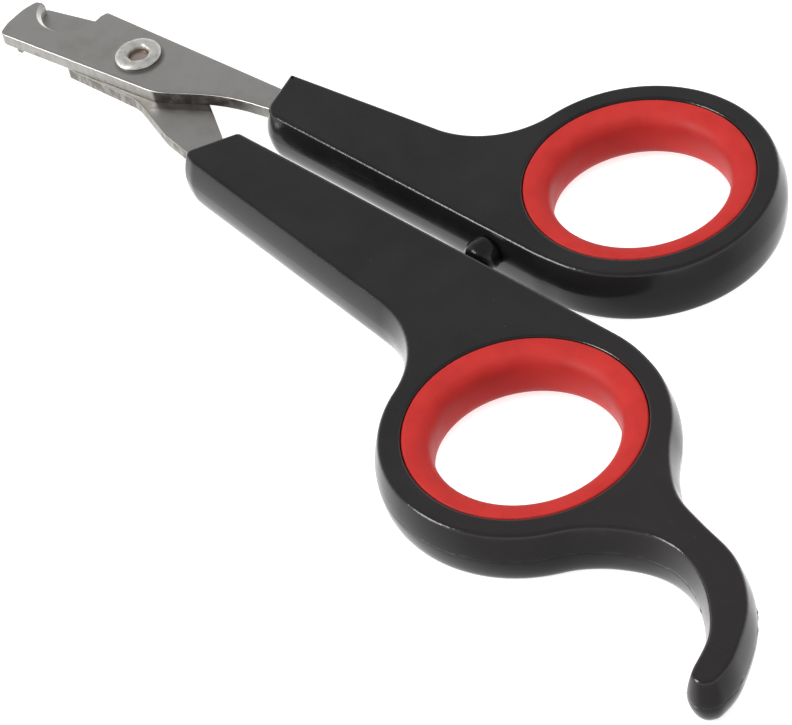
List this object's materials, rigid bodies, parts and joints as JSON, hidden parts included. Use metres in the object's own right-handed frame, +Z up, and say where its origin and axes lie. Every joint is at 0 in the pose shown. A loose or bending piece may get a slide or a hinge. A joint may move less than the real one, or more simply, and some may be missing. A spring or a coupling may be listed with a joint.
{
  "type": "pet nail scissors",
  "caption": "Scissor-style pet nail clipper with notched steel blades on a rivet, black handles, soft red finger rings and a curled finger rest.",
  "frame": {"origin": "middle of the underside of the closed scissors lying flat", "axes": "+X from the blades' tip to the finger rest, +Y from the finger handle to the thumb handle, +Z up, along the rivet's axis towards its rolled end"},
  "size_m": [0.129, 0.0636, 0.0061],
  "materials": {
    "satin_steel": "satin",
    "black_plastic": "satin",
    "red_rubber": "matte",
    "black_rubber": "matte"
  },
  "bodies": {
    "finger_side": {"bottom_blade": "satin_steel", "pivot_rivet": "satin_steel", "finger_handle": "black_plastic", "finger_ring_insert": "red_rubber"},
    "thumb_side": {"top_blade": "satin_steel", "thumb_handle": "black_plastic", "thumb_ring_insert": "red_rubber", "stop_bumper": "black_rubber"}
  },
  "joints": [
    {"name": "pivot_hinge", "type": "hinge", "parent": "finger_side", "child": "thumb_side", "pos_m": [-0.04722, 0.00146, 0.00305], "axis": [0, 0, 1], "range_deg": [0, 40]}
  ]
}
